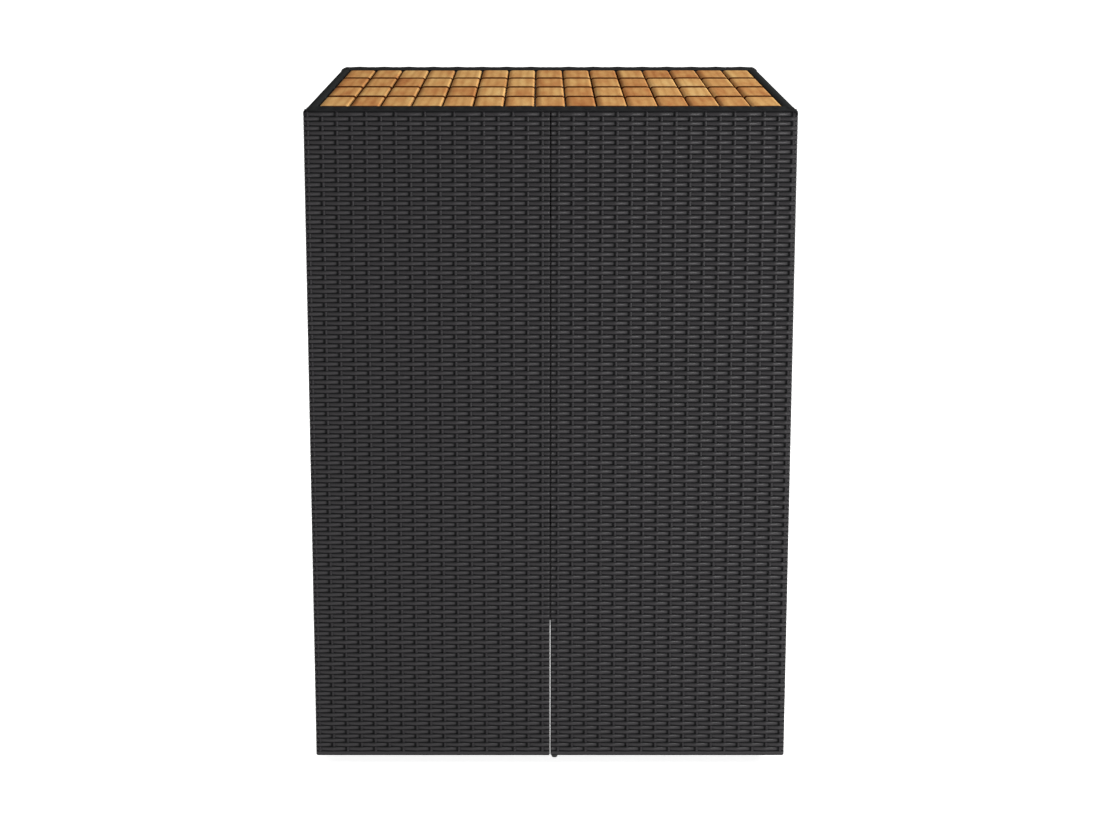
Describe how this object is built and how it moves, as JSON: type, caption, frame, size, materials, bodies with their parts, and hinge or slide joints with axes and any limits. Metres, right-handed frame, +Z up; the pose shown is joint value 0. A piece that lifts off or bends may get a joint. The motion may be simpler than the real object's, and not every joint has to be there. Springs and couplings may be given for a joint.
{
  "type": "wicker bar table",
  "caption": "Tall square bar table with two woven wicker end walls, woven side aprons, a slatted acacia top and levelling feet; open under the top from side to side.",
  "frame": {"origin": "on the floor, under the centre of the table", "axes": "+Z up, -Y the front end wall that the picture shows, +X to its right"},
  "size_m": [0.8, 0.8, 1.106],
  "materials": {
    "wicker": "satin",
    "frame_steel": "satin powder coat",
    "slat_wood": "oiled",
    "batten_wood": "oiled",
    "zinc_steel": "zinc plated",
    "foot_plastic": "matt"
  },
  "bodies": {
    "table": {"front_left_frame": "frame_steel", "front_left_weave": "wicker", "front_right_frame": "frame_steel", "front_right_weave": "wicker", "rear_left_frame": "frame_steel", "rear_left_weave": "wicker", "rear_right_frame": "frame_steel", "rear_right_weave": "wicker", "left_apron_frame": "frame_steel", "left_apron_weave": "wicker", "right_apron_frame": "frame_steel", "right_apron_weave": "wicker", "bearer_1": "frame_steel", "bearer_2": "frame_steel", "bearer_3": "frame_steel", "front_ledge": "frame_steel", "rear_ledge": "frame_steel", "corner_brackets": "frame_steel", "seam_plates": "frame_steel", "row_1_slats": "slat_wood", "row_1_battens": "batten_wood", "row_2_slats": "slat_wood", "row_2_battens": "batten_wood", "row_3_slats": "slat_wood", "row_3_battens": "batten_wood", "row_4_slats": "slat_wood", "row_4_battens": "batten_wood", "ledge_bolts": "zinc_steel", "seam_bolts": "zinc_steel", "bracket_bolts": "zinc_steel", "bearer_bolts": "zinc_steel", "foot_plugs": "foot_plastic"},
    "foot_1": {"foot_1_pad": "foot_plastic", "foot_1_stud": "zinc_steel"},
    "foot_2": {"foot_2_pad": "foot_plastic", "foot_2_stud": "zinc_steel"},
    "foot_3": {"foot_3_pad": "foot_plastic", "foot_3_stud": "zinc_steel"},
    "foot_4": {"foot_4_pad": "foot_plastic", "foot_4_stud": "zinc_steel"},
    "foot_5": {"foot_5_pad": "foot_plastic", "foot_5_stud": "zinc_steel"},
    "foot_6": {"foot_6_pad": "foot_plastic", "foot_6_stud": "zinc_steel"},
    "foot_7": {"foot_7_pad": "foot_plastic", "foot_7_stud": "zinc_steel"},
    "foot_8": {"foot_8_pad": "foot_plastic", "foot_8_stud": "zinc_steel"}
  },
  "joints": [
    {"name": "foot_1_level", "type": "slide", "parent": "table", "child": "foot_1", "axis": [0, 0, -1], "range_m": [0, 0.012]},
    {"name": "foot_2_level", "type": "slide", "parent": "table", "child": "foot_2", "axis": [0, 0, -1], "range_m": [0, 0.012]},
    {"name": "foot_3_level", "type": "slide", "parent": "table", "child": "foot_3", "axis": [0, 0, -1], "range_m": [0, 0.012]},
    {"name": "foot_4_level", "type": "slide", "parent": "table", "child": "foot_4", "axis": [0, 0, -1], "range_m": [0, 0.012]},
    {"name": "foot_5_level", "type": "slide", "parent": "table", "child": "foot_5", "axis": [0, 0, -1], "range_m": [0, 0.012]},
    {"name": "foot_6_level", "type": "slide", "parent": "table", "child": "foot_6", "axis": [0, 0, -1], "range_m": [0, 0.012]},
    {"name": "foot_7_level", "type": "slide", "parent": "table", "child": "foot_7", "axis": [0, 0, -1], "range_m": [0, 0.012]},
    {"name": "foot_8_level", "type": "slide", "parent": "table", "child": "foot_8", "axis": [0, 0, -1], "range_m": [0, 0.012]}
  ]
}
